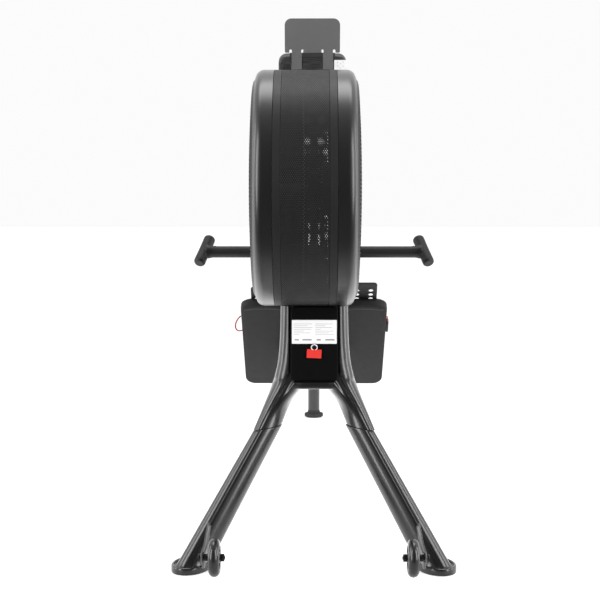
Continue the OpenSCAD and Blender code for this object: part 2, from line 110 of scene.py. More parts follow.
def node_material(name, colour, rough, metallic=0.0, vary=0.12, vary_scale=9.0, rough_vary=0.08,
                  grain=None, depth=0.00012, coat=0.0, coat_rough=0.08, sheen=0.0,
                  brushed=None, weave=None, spec=0.5, emission=None, dust=0.0):
    """A procedural surface: cloudy colour and roughness, with a bump of the given depth in metres.
    The bump is grain (strength, scale), brushing (scales by axis) or a weave (coordinates, count)."""
    mat = bpy.data.materials.new(name)
    mat.use_nodes = True
    tree = mat.node_tree
    where = node(tree, "TexCoord", {}, "Object")

    def noise(scale, detail, vector=where):
        return node(tree, "TexNoise", {"Scale": scale, "Detail": detail, "Vector": vector}, "Fac")

    cloud = node(tree, "MapRange", {"Value": noise(vary_scale, 6.0), "From Min": 0.3, "From Max": 0.7})
    low = [c * (1 - vary) for c in colour]
    high = [min(1.0, c * (1 + vary) + dust) for c in colour]
    tint = mixed(tree, cloud, (*low, 1), (*high, 1))
    roughness = node(tree, "MapRange", {"Value": noise(vary_scale * 7, 4.0),
                                        "To Min": max(0.02, rough - rough_vary),
                                        "To Max": min(1.0, rough + rough_vary)})
    height = None
    if brushed:
        height = noise(1.0, 3.0, node(tree, "Mapping", {"Vector": where, "Scale": brushed}))
    elif weave:
        layout, count = weave
        if layout == "lay":
            where = node(tree, "Attribute", {}, "Vector", attribute_name="lay")
        waves = []
        for axis in "XY":
            along = node(tree, "SeparateXYZ", {"Vector": where}, axis)
            waves.append(calc(tree, "SINE", calc(tree, "MULTIPLY", along, count)))
        height = calc(tree, "MULTIPLY", *waves)
        # painted shade: the colour is darkened in the weave's hollows and lightened on its raised threads,
        # following the bump
        weave_painted_shade = node(tree, "MapRange", {"Value": height, "From Min": -1.0, "To Min": 0.72, "To Max": 1.12})
        tint = mixed(tree, 1.0, tint, weave_painted_shade, blend="MULTIPLY")
    elif grain:
        height = noise(grain[1], 3.0)
    shader = tree.nodes["Principled BSDF"]
    if height is not None:
        strength = max(grain[0] if grain else 0.0, 0.25)
        bump = node(tree, "Bump", {"Strength": strength, "Distance": depth, "Height": height})
        feed(tree, shader, {"Normal": bump})
    if emission:
        feed(tree, shader, {"Emission Color": (*emission[:3], 1), "Emission Strength": emission[3]})
    feed(tree, shader, {"Base Color": tint, "Roughness": roughness, "Metallic": metallic,
                         "Specular IOR Level": spec, "Coat Weight": coat, "Coat Roughness": coat_rough,
                         "Sheen Weight": sheen})
    return mat


def grey(v, blue=0.0):
    return (v, v, v * (1 + blue))


MAT = {}


def surface(name, colour, rough, **look):
    """A material by its own name; a plain number as its colour is a grey."""
    MAT[name] = node_material(name, colour if isinstance(colour, tuple) else grey(colour), rough, **look)


# paint, plastic and rubber
surface("painted_frame", grey(0.0035, 0.03), 0.32, grain=(0.25, 1500), depth=3e-5,
        coat=0.9, coat_rough=0.18)
surface("panel", 0.0012, 0.5, grain=(0.3, 1200), depth=4e-5, spec=0.16)
surface("rubber", 0.014, 0.62, grain=(0.5, 700), depth=1e-4, dust=0.004)
surface("wheel_tyre", 0.006, 0.26, grain=(0.3, 500), depth=6e-5, coat=0.7, coat_rough=0.14)
surface("rim_gloss", 0.003, 0.32, vary_scale=4, rough_vary=0.03, grain=(0.1, 300),
        depth=3e-5, coat=0.8, coat_rough=0.3)
surface("fan_plastic", 0.03, 0.45, grain=(0.3, 600), depth=5e-5)
surface("housing_plastic", 0.018, 0.45, grain=(0.45, 1100), depth=7e-5)
surface("footboard_plastic", 0.010, 0.6, spec=0.34, vary=0.06, grain=(0.5, 1300),
        depth=8e-5)
surface("heel_plastic", 0.008, 0.55, grain=(0.45, 1100), depth=8e-5)
surface("roller_plastic", 0.05, 0.4, grain=(0.2, 700), depth=4e-5)
surface("console_shell", 0.03, 0.42, grain=(0.4, 1200), depth=6e-5)
surface("button", 0.16, 0.55, grain=(0.4, 1000), depth=6e-5)
surface("display", (0.03, 0.036, 0.034), 0.12, coat=1.0, coat_rough=0.04, rough_vary=0.02)
surface("display_mark", (0.25, 0.33, 0.3), 0.3, rough_vary=0.02, emission=(0.3, 0.42, 0.38, 0.35))
# metal
surface("bracket_metal", 0.16, 0.3, metallic=0.6, grain=(0.3, 900), depth=3e-5)
surface("dark_hardware", 0.03, 0.3, metallic=0.8, grain=(0.2, 800), depth=3e-5)
surface("band_sheet", 0.010, 0.5, metallic=0.1, grain=(0.25, 1200), depth=4e-5)
surface("grille_mesh", 0.01, 0.35, metallic=0.2, grain=(0.2, 900), depth=3e-5)
surface("bright_steel", grey(0.55, 0.02), 0.25, metallic=1.0, brushed=(40, 1500, 1500),
        depth=2e-5)
surface("rail_aluminium", grey(0.34, 0.03), 0.32, metallic=1.0, brushed=(900, 12, 900),
        depth=2e-5, rough_vary=0.05)
surface("track_steel", grey(0.5, 0.02), 0.18, metallic=1.0, brushed=(1400, 8, 1400), depth=1e-5,
        rough_vary=0.04)
surface("holder_sheet", grey(0.125, 0.015), 0.5, metallic=0.15, vary=0.05, grain=(0.4, 1100),
        depth=4e-5)
# webbing, belt, foam, card
surface("belt", 0.02, 0.6, weave=("object", 2600), depth=2e-4)
surface("strap_webbing", (0.42, 0.006, 0.009), 0.75, sheen=0.3, weave=("lay", 2500), depth=4e-4)
surface("grip_foam", 0.008, 0.5, grain=(0.5, 1000), depth=1e-4)
surface("seat_foam", 0.02, 0.6, grain=(0.7, 700), depth=2e-4)
surface("label", 0.8, 0.4, vary=0.02, rough_vary=0.04, grain=(0.1, 500), depth=2e-5)
surface("label_print", 0.3, 0.5, vary=0.1)
surface("tag", (0.66, 0.018, 0.010), 0.45, vary=0.04, grain=(0.2, 600), depth=3e-5)
surface("tie_white", 0.7, 0.35, vary=0.03, grain=(0.1, 900), depth=2e-5)


# ---------------- mesh helpers
def linked(name, data):
    obj = bpy.data.objects.new(name, data)
    bpy.context.scene.collection.objects.link(obj)
    return obj


def shade(obj, angle=35.0):
    obj.data.shade_smooth()
    obj.data.set_sharp_from_angle(angle=radians(angle))


def mesh_object(name, verts, faces, angle=35.0):
    me = bpy.data.meshes.new(name)
    me.from_pydata([tuple(v) for v in verts], [], [tuple(f) for f in faces])
    me.validate()
    obj = linked(name, me)
    shade(obj, angle)
    return obj


def bake(obj, *modifiers):
    """Replaces the object's mesh with what the modifiers, given as (type, settings), make of it."""
    for kind, settings in modifiers:
        m = obj.modifiers.new(kind, kind)
        for key, value in settings.items():
            setattr(m, key, value)
    deps = bpy.context.evaluated_depsgraph_get()
    made = bpy.data.meshes.new_from_object(obj.evaluated_get(deps))
    obj.modifiers.clear()
    obj.data = made
    return obj


def outward(obj):
    bm = bmesh.new()
    bm.from_mesh(obj.data)
    bmesh.ops.recalc_face_normals(bm, faces=bm.faces[:])
    bm.to_mesh(obj.data)
    bm.free()
    return obj


def bevel(obj, width_mm, segments=2, angle=32.0):
    bake(obj, ("BEVEL", {"width": width_mm * 0.001, "segments": segments, "limit_method": "ANGLE",
                         "angle_limit": radians(angle), "harden_normals": False}))
    shade(obj, 40)
    return obj


def even(obj):
    """Lets the large flat faces set the shading of the edges round them."""
    return bake(obj, ("WEIGHTED_NORMAL", {"keep_sharp": True}))


def subtract(obj, cutter):
    bake(obj, ("BOOLEAN", {"object": cutter, "operation": "DIFFERENCE", "solver": "EXACT"}))
    bpy.data.objects.remove(cutter)


def remesh(obj, voxel_mm, smoothing, factor=0.5):
    bake(obj, ("REMESH", {"mode": "VOXEL", "voxel_size": voxel_mm * 0.001}),
         ("SMOOTH", {"iterations": smoothing, "factor": factor}))


def join(name, objs):
    """One object from several, keeping their material slots."""
    bm = bmesh.new()
    mats = []
    for o in objs:
        offset = {}
        for i, m in enumerate(o.data.materials):
            if m not in mats:
                mats.append(m)
            offset[i] = mats.index(m)
        first = len(bm.faces)
        bm.from_mesh(o.data)
        bm.faces.ensure_lookup_table()
        if offset:
            for f in bm.faces[first:]:
                f.material_index = offset.get(f.material_index, 0)
    me = bpy.data.meshes.new(name)
    bm.to_mesh(me)
    bm.free()
    for m in mats:
        me.materials.append(m)
    for o in objs:
        bpy.data.objects.remove(o)
    return linked(name, me)


def finish(obj, body, slot, mat=None, replaces=()):
    """Gives a piece its material, by the slot's name unless another is given, and its body, and hides the CAD
    nodes it stands for.
    """
    if not obj.data.materials:
        obj.data.materials.append(MAT[mat or slot])
    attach(obj, body)
    for name in replaces:
        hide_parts(name)
    return obj


def finished(name, slot, width_mm=1.0, segments=2, mat=None):
    """A copy of a CAD node with rounded edges, in its material, that stands for the node."""
    src = frame["nodes"][name]
    bm = bmesh.new()
    bm.from_mesh(src.data)
    bmesh.ops.remove_doubles(bm, verts=bm.verts[:], dist=3e-6)
    bmesh.ops.dissolve_limit(bm, angle_limit=radians(0.4), verts=bm.verts[:], edges=bm.edges[:])
    bmesh.ops.recalc_face_normals(bm, faces=bm.faces[:])
    me = bpy.data.meshes.new(name + "_finished")
    bm.to_mesh(me)
    bm.free()
    if "custom_normal" in me.attributes:
        me.attributes.remove(me.attributes["custom_normal"])
    obj = bevel(linked(name + "_finished", me), width_mm, segments)
    return finish(obj, src["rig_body"], slot, mat, replaces=(name,))


def repaint(name, slot):
    """A carried-over CAD node whose shape is right: only its material changes."""
    obj = frame["nodes"][name]
    obj.data.materials.clear()
    obj.data.materials.append(MAT[slot])


# ---------------- outlines and skins
def turns(count):
    """Angles in radians, evenly spaced round a full turn."""
    return [2 * pi * k / count for k in range(count)]


def circle(r, count):
    return [(r * cos(t), r * sin(t)) for t in turns(count)]


def arc(cx, cy, r, a0, a1, n=8):
    return [(cx + r * cos(radians(a0 + (a1 - a0) * i / n)),
             cy + r * sin(radians(a0 + (a1 - a0) * i / n))) for i in range(n + 1)]


def round_rect(w, h, r, n=6):
    return (arc(w / 2 - r, h / 2 - r, r, 0, 90, n) + arc(-w / 2 + r, h / 2 - r, r, 90, 180, n)
            + arc(-w / 2 + r, -h / 2 + r, r, 180, 270, n) + arc(w / 2 - r, -h / 2 + r, r, 270, 360, n))


def bar(x, z, w, h):
    return [(x, z), (x + w, z), (x + w, z + h), (x, z + h)]


def mirrored(half):
    """A profile with two equal ends, from its negative half; a point at 0 is used once."""
    return half + [(-a, r) for a, r in reversed(half) if a]


def flipped(side, profile):
    return [(side * a, r) for a, r in profile]


def tilted(x0, d0, z0, turn):
    """Places points in a frame turned about X at (x0, d0, z0): place(x, v, u) in mm."""
    c, s = cos(radians(turn)), sin(radians(turn))
    return lambda x, v, u: at(x0 + x, d0 + v * c - u * s, z0 + v * s + u * c)


def upright(place, x=0.0, z=0.0):
    """For an outline (a, b) drawn round (x, z) of a placing, with its depth h along the middle axis."""
    return lambda a, b, h: place(x + a, h, z + b)


def loft(name, rings, cap=True, closed=False, angle=35.0):
    """A skin through rings of points; the last ring joins the first if closed."""
    count = len(rings[0])
    verts = [p for ring in rings for p in ring]
    faces = []
    steps = len(rings) if closed else len(rings) - 1
    for i in range(steps):
        a, b = i * count, ((i + 1) % len(rings)) * count
        for j in range(count):
            k = (j + 1) % count
            faces.append((a + j, a + k, b + k, b + j))
    if cap and not closed:
        faces.append(tuple(reversed(range(count))))
        faces.append(tuple(range((len(rings) - 1) * count, len(rings) * count)))
    return outward(mesh_object(name, verts, faces, angle))


def lathe(name, profile, centre, axis="X", segments=96, closed=True, angle=35.0):
    """Turns a profile of (along, radius) in mm about an axis through centre (x, d, z)."""
    rings = []
    for a, r in profile:
        ring = []
        for c, s in circle(r, segments):
            off = {"X": (a, c, s), "Y": (c, a, s), "Z": (c, s, a)}[axis]
            ring.append(at(*(q + o for q, o in zip(centre, off))))
        rings.append(ring)
    return loft(name, rings, cap=not closed, closed=closed, angle=angle)


def prism(name, outline, lo, hi, place):
    """Extrudes a 2-D outline from lo to hi; place(a, b, h) gives the point in metres."""
    return loft(name, [[place(a, b, h) for a, b in outline] for h in (lo, hi)])


def slab(name, outline, profile, place, half=None):
    """A plate with rounded faces. profile: (inset, height); half: half the outline's size in a and b."""
    wide, tall = half or (max(a for a, _ in outline), max(b for _, b in outline))
    rings = [[place(a * (1 - i / wide), b * (1 - i / tall), h) for a, b in outline] for i, h in profile]
    return loft(name, rings, angle=30)


def ribbon(name, path, across, width, thick):
    """A flat strap along a path of points in metres; across is its width direction."""
    rings, lay, run = [], [], 0.0
    w, t = width * 0.0005, thick * 0.0005
    lower = [(-w, -t * 0.4), (-w + t, -t), (w - t, -t), (w, -t * 0.4)]
    section = lower + [(a, -b) for a, b in reversed(lower)]
    side = Vector(across).normalized()
    for i, p in enumerate(path):
        ahead = path[min(i + 1, len(path) - 1)] - path[max(i - 1, 0)]
        up = ahead.cross(side).normalized()
        rings.append([p + side * a + up * b for a, b in section])
        if i:
            run += (p - path[i - 1]).length
        lay.extend((run, a, b) for a, b in section)
    obj = loft(name, rings, angle=40)
    attribute = obj.data.attributes.new("lay", "FLOAT_VECTOR", "POINT")
    attribute.data.foreach_set("vector", np.array(lay, np.float32).ravel())
    return obj


def curve_points(points, steps=8):
    """A smooth line through points (Catmull-Rom)."""
    pts = [Vector(p) for p in points]
    ext = [pts[0] * 2 - pts[1]] + pts + [pts[-1] * 2 - pts[-2]]
    out = []
    for i in range(len(pts) - 1):
        p0, p1, p2, p3 = ext[i:i + 4]
        for k in range(steps):
            t = k / steps
            out.append(0.5 * ((2 * p1) + (p2 - p0) * t + (2 * p0 - 5 * p1 + 4 * p2 - p3) * t * t
                              + (3 * p1 - p0 - 3 * p2 + p3) * t ** 3))
    return out + [pts[-1]]


# ---------------- perforated sheets
def perforated(name, cells, pitch_u, pitch_v, hole, depth, place, points=12):
    """A sheet of hexagonal cells, each with a round hole. cells: centres (u, v); place(u, v, h) in metres."""
    squash = pitch_v / (pitch_u * sqrt(3) / 2)
    ring = []
    for k, (c, s) in enumerate(circle(1.0, points)):
        reach = pitch_u / sqrt(3) if k % 2 else pitch_u / 2       # a cell's corner or its side
        ring.append((reach * c, reach * s * squash, hole * c, hole * s))
    verts, faces, shared = [], [], {}

    def vertex(u, v):
        key = (round(u * 20), round(v * 20))
        if key not in shared:
            shared[key] = len(verts)
            verts.append(place(u, v, 0.0))
        return shared[key]

    for u, v in cells:
        outer = [vertex(u + a, v + b) for a, b, _, _ in ring]
        base = len(verts)
        verts.extend(place(u + a, v + b, 0.0) for _, _, a, b in ring)
        verts.extend(place(u + a, v + b, -depth) for _, _, a, b in ring)
        for k in range(points):
            j = (k + 1) % points
            faces.append((outer[k], outer[j], base + j, base + k))
            faces.append((base + k, base + j, base + points + j, base + points + k))
    return mesh_object(name, verts, faces, 50)


def on_drum(u, v, h):
    """u: along the drum's circumference in mm from its top; v: sideways; h: outwards."""
    t, r = u / BAND_R, BAND_R + h
    return at(DRUM[0] + v, DRUM[1] - r * sin(t), DRUM[2] + r * cos(t))


def make_band():
    circumference = 2 * pi * BAND_R
    rows, across, parts = 420, 23, 4     # holes round the drum, holes across it, pieces
    row_pitch = circumference / rows
    hole_pitch = row_pitch * 2 / sqrt(3)
    slot_u = circumference - BAND_R * radians(120.75)      # where the belt passes
    slot_x = 18
    for p in range(parts):
        cells = []
        for row in range(rows * p // parts, rows * (p + 1) // parts):
            stagger = 0.25 if row % 2 else -0.25
            for k in range(across):
                u, v = row * row_pitch, (k - (across - 1) / 2 + stagger) * hole_pitch
                if abs(u - slot_u) >= 31 or abs(v - slot_x) >= 18:
                    cells.append((v, u))
        piece = perforated(f"drum_band_{p}", cells, hole_pitch, row_pitch, 1.1, 1.2,
                           lambda a, b, h: on_drum(b, a, h))
        finish(piece, "frame", "band_sheet", replaces=("drum_band",) if p == 0 else ())
    # plain edge strips, set a little proud, with a fine joint to the rims
    strip = [(50.6, 255.2), (50.9, 255.9), (66.0, 255.9), (66.5, 255.4), (66.5, 253.0), (50.6, 253.0)]
    for side, name in SIDES:
        finish(lathe(f"drum_band_strip_{name}", flipped(side, strip), DRUM, segments=192, angle=30),
               "frame", "band_sheet")
    # collar round the belt's slot
    rings = [[on_drum(slot_u + b, slot_x + a, h) for a, b in round_rect(40 - 2 * inset, 66 - 2 * inset, 7)]
             for inset, h in ((0, -2.5), (0, 0.9), (1.0, 1.5), (3.5, 1.5), (4.5, 0.9), (4.5, -2.5))]
    finish(loft("belt_slot_collar", rings, closed=True), "frame", "housing_plastic")


def make_rims():
    out = [(67.0, 253.2), (67.0, 255.3), (67.5, 256.0)] + arc(88, 236, 20, 90, 35, 11)
    # a small step where the rim's lip folds in to hold the grille
    lip = [(104.6, 246.6), (104.9, 245.4), (104.6, 244.8), (105.4, 244.2), (106.6, 242.4), (107.3, 240.6),
           (107.2, 238.0), (105.6, 237.0), (104.2, 239.5)]
    inner = arc(88, 236, 17, 20, 90, 7)
    for side, name in SIDES:
        rim = lathe(f"{name}_rim", flipped(side, out + lip + inner), DRUM, segments=256, angle=28)
        finish(rim, "frame", "rim_gloss", replaces=(f"{name}_drum_rim",))


def dome(r):
    """How far the side grille stands from the drum's middle plane at a radius."""
    return 112.6 + 8.4 * (1 - (r / 235.0) ** 2) - 6.4 * smooth((r - 222.0) / 19.0) ** 2


def make_grilles():
    pitch, hole, reach = 9.4, 4.05, 27     # reach: rows of holes each way from the middle
    row_pitch = pitch * sqrt(3) / 2
    cells = []
    for row in range(-reach, reach + 1):
        for col in range(-reach, reach + 1):
            u, v = (col + (0.5 if row % 2 else 0.0)) * pitch, row * row_pitch
            if 40 < hypot(u, v) < 237.5:
                cells.append((u, v))
    edge = [(dome(r) + h, r) for r, h in ((231, -1.6), (231, 0.5), (235, 0.7), (239.5, 0.4), (239.5, -1.6))]
    hub = [(116.0, 0.5), (116.0, 43), (119.4, 46), (121.0, 45), (121.5, 42), (121.5, 30), (120.6, 27),
           (120.6, 0.5)]
    for side, name in SIDES:
        def on_dome(u, v, h):
            return at(DRUM[0] + side * (dome(hypot(u, v)) + h), DRUM[1] + u, DRUM[2] + v)
        mesh = perforated(f"{name}_grille", cells, pitch, row_pitch, hole, 1.3, on_dome)
        finish(mesh, "frame", "grille_mesh", replaces=(f"{name}_side_grille",))
        finish(lathe(f"{name}_grille_edge", flipped(side, edge), DRUM, segments=192), "frame", "grille_mesh")
        finish(lathe(f"{name}_hub_cap", flipped(side, hub), DRUM), "frame", "grille_mesh", "rim_gloss")


# ---------------- column and legs
LEG_FOOT = (-256.0, 0.0, 16.0)
LEG_HEAD = (-66.0, 130.0, 353.0)
LEG_TURN = radians(38)
RING = 96                            # points round a leg
SEAM = 290.0                         # height of the seam between the column and the legs
COLUMN_X, COLUMN_D = 1.0, 162        # the column's middle


def leg_ring(z, side, grow=0.0, crease=2.2):
    """The leg's oval section at a height, with a raised flank along its outer front edge."""
    s = (z - LEG_FOOT[2]) / (LEG_HEAD[2] - LEG_FOOT[2])
    cx, cy = (LEG_FOOT[i] + s * (LEG_HEAD[i] - LEG_FOOT[i]) for i in (0, 1))
    a, b = 41 - 10 * s + grow, 27 - 8 * s + grow
    ring = []
    for i, (c, q) in enumerate(circle(1.0, RING)):
        t = 360.0 * i / RING
        flank = smooth((t - 34) / 6) * (1 - smooth((t - 120) / 50))
        k = 1 - crease * flank / hypot(a * c, b * q)
        # a fine groove right beside the flank
        k -= 0.022 * exp(-((t - 41) / 3.0) ** 2) * (crease > 0)
        u, w = k * a * c, k * b * q
        x = cx - u * cos(LEG_TURN) + w * sin(LEG_TURN)
        y = cy - u * sin(LEG_TURN) - w * cos(LEG_TURN)
        ring.append(at(-side * x, y, z))
    return ring


def lean(p, share):
    """Slides a point along its leg, so that the seam runs higher on the leg's inner side."""
    side = 1 if p.x > 0 else -1
    rise = 0.15 * (118.0 - abs(p.x * 1000)) * share * 0.001
    run_x, run_d, run_z = (LEG_HEAD[i] - LEG_FOOT[i] for i in range(3))
    return p + Vector((-side * rise * run_x / run_z, rise * run_d / run_z, rise))


def make_legs():
    levels = [(9.0, 3.4), (12.5, 2.6), (15.0, 1.2), (18.0, 0.4), (24.0, 0.0)]       # height, swell
    levels += [(z, 0.0) for z in np.linspace(40, 280, 13)] + [(286.0, 0.0), (288.6, -0.2), (289.4, -1.0)]
    # the pad's section: distance in from its oval outline, height
    section = ((3, 0.0), (0.6, 0.6), (0, 2.2), (0, 12.6), (0.7, 14.6), (2.0, 15.7), (3.4, 16.0), (4.8, 15.6),
               (5.6, 14.4), (6.0, 11.0), (8.0, 9.6), (22, 9.6))
    ca, sa = cos(radians(105)), sin(radians(105))
    for side, name in SIDES:
        leg = loft(f"{name}_leg", [[lean(p, smooth((z - 215) / 65.0)) for p in leg_ring(z, side, grow)]
                                   for z, grow in levels], angle=50)
        finish(leg, "frame", "painted_frame", replaces=(f"{name}_leg",))
        rings = []
        for off, z in section:
            oval = [((58 - off) * c, (40 - off) * s) for c, s in circle(1.0, RING)]
            rings.append([at(side * (263.6 + u * ca - w * sa), 10 + u * sa + w * ca, z) for u, w in oval])
        finish(loft(f"{name}_foot_pad", rings, angle=30), "frame", "rubber", "wheel_tyre",
               replaces=(f"{name}_foot_pad",))


def table(points, z):
    """Linear look-up in a falling list of (z, value)."""
    for (z1, v1), (z0, v0) in zip(points, points[1:]):
        if z >= z0:
            return v0 + (v1 - v0) * min(1.0, max(0.0, (z - z0) / (z1 - z0)))
    return points[-1][1]


# half width of the column, and of its sunken front, by height
OUTER_X = [(580, 74.5), (507, 75.6), (470, 77.4), (441, 79.8), (420, 83.4), (397, 89.0), (375, 96.6),
           (353, 105.6), (322, 119.0), (291, 132.5), (270, 142.5)]
CREASE_X = [(600, 54.0), (440, 54.3), (420, 55.0), (405, 57.5), (390, 64.5), (375, 74.0), (353, 86.0),
            (322, 102.0), (290, 118.5), (270, 129.0)]


def stub_ring(z, side):
    """A ring between a leg's section and a rounded square at the column's flank."""
    blend = smooth((z - 292) / 118.0)
    low = [(side * (p.x * 1000), p.y * 1000 - FOOT_Y) for p in leg_ring(z, side, crease=0.0)]
    outer = table(OUTER_X, z)
    half = 34.0 + 5.0 * smooth((z - 340) / 50.0)
    # both rings start on the outer side and run the same way round
    high = []
    for c, q in circle(1.0, RING):
        m = (abs(c) ** 3 + abs(q) ** 3) ** (-1 / 3)
        high.append((outer - half + half * m * c, COLUMN_D + 70 * m * q))
    mx, md = (sum(p[i] for p in low) / RING for i in (0, 1))
    low.sort(key=lambda p: atan2(p[1] - md, p[0] - mx) % (2 * pi))
    ring = [((1 - blend) * a[0] + blend * b[0], (1 - blend) * a[1] + blend * b[1]) for a, b in zip(low, high)]
    short = outer - max(a for a, _ in ring)
    return [at(side * (a + short * smooth((z - 276) / 16.0)) + COLUMN_X, b, z) for a, b in ring]


def sink_front(co, no):
    """Sinks the column's front inside its crease and fits its top to the drum; co in metres."""
    x, y, z = co[:, 0] * 1000, co[:, 1] * 1000 - FOOT_Y, co[:, 2] * 1000
    for i in np.nonzero((no[:, 1] < -0.12) & (y < 150))[0]:
        ax = abs(x[i] - COLUMN_X)
        crease = table(CREASE_X, z[i])
        inside = smooth((crease - ax) / 3.6 + 0.5)
        depth = 2.0 + 6.0 * smooth((z[i] - 345) / 60.0)
        groove = 1.4 * exp(-((crease - 2.5 - ax) / 2.6) ** 2)
        lip_x = 47 + max(0.0, 392 - z[i]) * 0.62
        lip = smooth((396 - z[i]) / 5.0) * smooth((lip_x - ax) / 9.0 + 0.5) * smooth((z[i] - 300) / 60.0)
        co[i, 1] += inside * (depth + groove) * (1 - lip) * 0.001
    saddle = BAND_R + 1.0
    yy, zz = co[:, 1] * 1000 - FOOT_Y - DRUM[1], co[:, 2] * 1000 - DRUM[2]
    r = np.hypot(yy, zz)
    k = np.where((r < saddle) & (zz < 0), saddle / np.maximum(r, 1), 1.0)
    co[:, 1] = (yy * k + DRUM[1] + FOOT_Y) * 0.001
    co[:, 2] = (zz * k + DRUM[2]) * 0.001


def make_column():
    def block(half_width, r, n, x, z):
        return [at(x + a, COLUMN_D + b, z) for a, b in round_rect(2 * half_width, 140, r, n)]
    core = [block(table(OUTER_X, z) - 0.5, 30, 10, COLUMN_X, z)
            for z in (398, 410, 425, 440, 470, 500, 540, 580)]
    parts = [loft("core", core), loft("crotch", [block(52, 24, 8, 3, z) for z in (377, 412)])]
    parts += [loft("stub", [stub_ring(z, side) for z in range(274, 443, 8)]) for side, _ in SIDES]
    column = join("front_column_casting", parts)
    remesh(column, 2.2, smoothing=30, factor=0.6)
    me = column.data
    co = np.array([v.co for v in me.vertices], float)
    sink_front(co, np.array([v.normal for v in me.vertices], float))
    me.vertices.foreach_set("co", co.astype(np.float32).ravel())
    bm = bmesh.new()
    bm.from_mesh(me)
    cut = bmesh.ops.bisect_plane(bm, geom=bm.verts[:] + bm.edges[:] + bm.faces[:], plane_no=(0, 0, 1),
                                 plane_co=(0, 0, (SEAM + 0.5) * 0.001), clear_inner=True)
    bmesh.ops.holes_fill(bm, edges=[e for e in cut["geom_cut"] if isinstance(e, bmesh.types.BMEdge)], sides=0)
    for v in bm.verts:
        v.co = lean(v.co, 1 - smooth((v.co.z * 1000 - 292) / 70.0))
    bm.to_mesh(me)
    bm.free()
    bake(column, ("SMOOTH", {"iterations": 1, "factor": 0.35}))
    shade(column, 50)
    finish(column, "frame", "painted_frame", replaces=("front_column",))

    # inner panel with a rounded lower lip
    cover = slab("column_panel", round_rect(103, 162, 8),
                 [(0, 101.5), (0, 95.6), (0.5, 94.9), (1.3, 94.5), (3.2, 94.3)], upright(at, COLUMN_X, 478))
    finish(cover, "frame", "panel", replaces=("column_cover",))
    make_sticker_and_tag()


def make_sticker_and_tag():
    label = prism("rating_sticker", round_rect(98, 52, 1.2, 3), 93.7, 94.25, upright(at, COLUMN_X, 504))
    finish(label, "frame", "label", replaces=("rating_label",))
    bars = [bar(x0, 521 - row * 3.9, (40, 30, 41, 38, 22, 36, 12)[(row + 3 * col) % 7], 0.7)
            for col, x0 in enumerate((-44, 3)) for row in range(7)]
    bars += [bar(x0, 485, w, 3.4) for x0, w in ((-42, 9), (-25, 20), (6, 9), (25, 20))]
    marks = [prism("bar", b, 93.6, 93.75, upright(at)) for b in bars]
    finish(join("rating_sticker_bars", marks), "frame", "label", "label_print")
    tag = prism("hang_tag_card", round_rect(32, 19, 1.2, 3), 89.4, 90.4,
                lambda a, b, h: at(0.6 + a * 0.999 + b * 0.05, h, 456.5 + b - a * 0.04))
    finish(tag, "frame", "tag", replaces=("hang_tag",))
    tie = []
    for i in range(24):
        t = radians(-70 + 320 * i / 23)
        c = (COLUMN_X + 6.4 * cos(t), 89.6 - 0.6 * sin(t), 470.4 + 6.0 * sin(t))
        tie.append([at(c[0] + 1.1 * cos(q) * cos(t), c[1] + 0.9 * sin(q),
                       c[2] + 1.1 * cos(q) * sin(t)) for q in turns(8)])
    finish(loft("tag_tie", tie), "frame", "tag", "tie_white")
    head = [(94.6, 0.3), (94.6, 4.2), (91.8, 4.2), (90.2, 3.2), (89.6, 1.8), (90.6, 1.2), (90.6, 0.3)]
    finish(lathe("tag_screw", head, (COLUMN_X, 0, 472), axis="Y", segments=32), "frame", "dark_hardware")


# ---------------- transport wheels
WHEEL_X, WHEEL_D, WHEEL_Z = 206, -95.0, 52.5


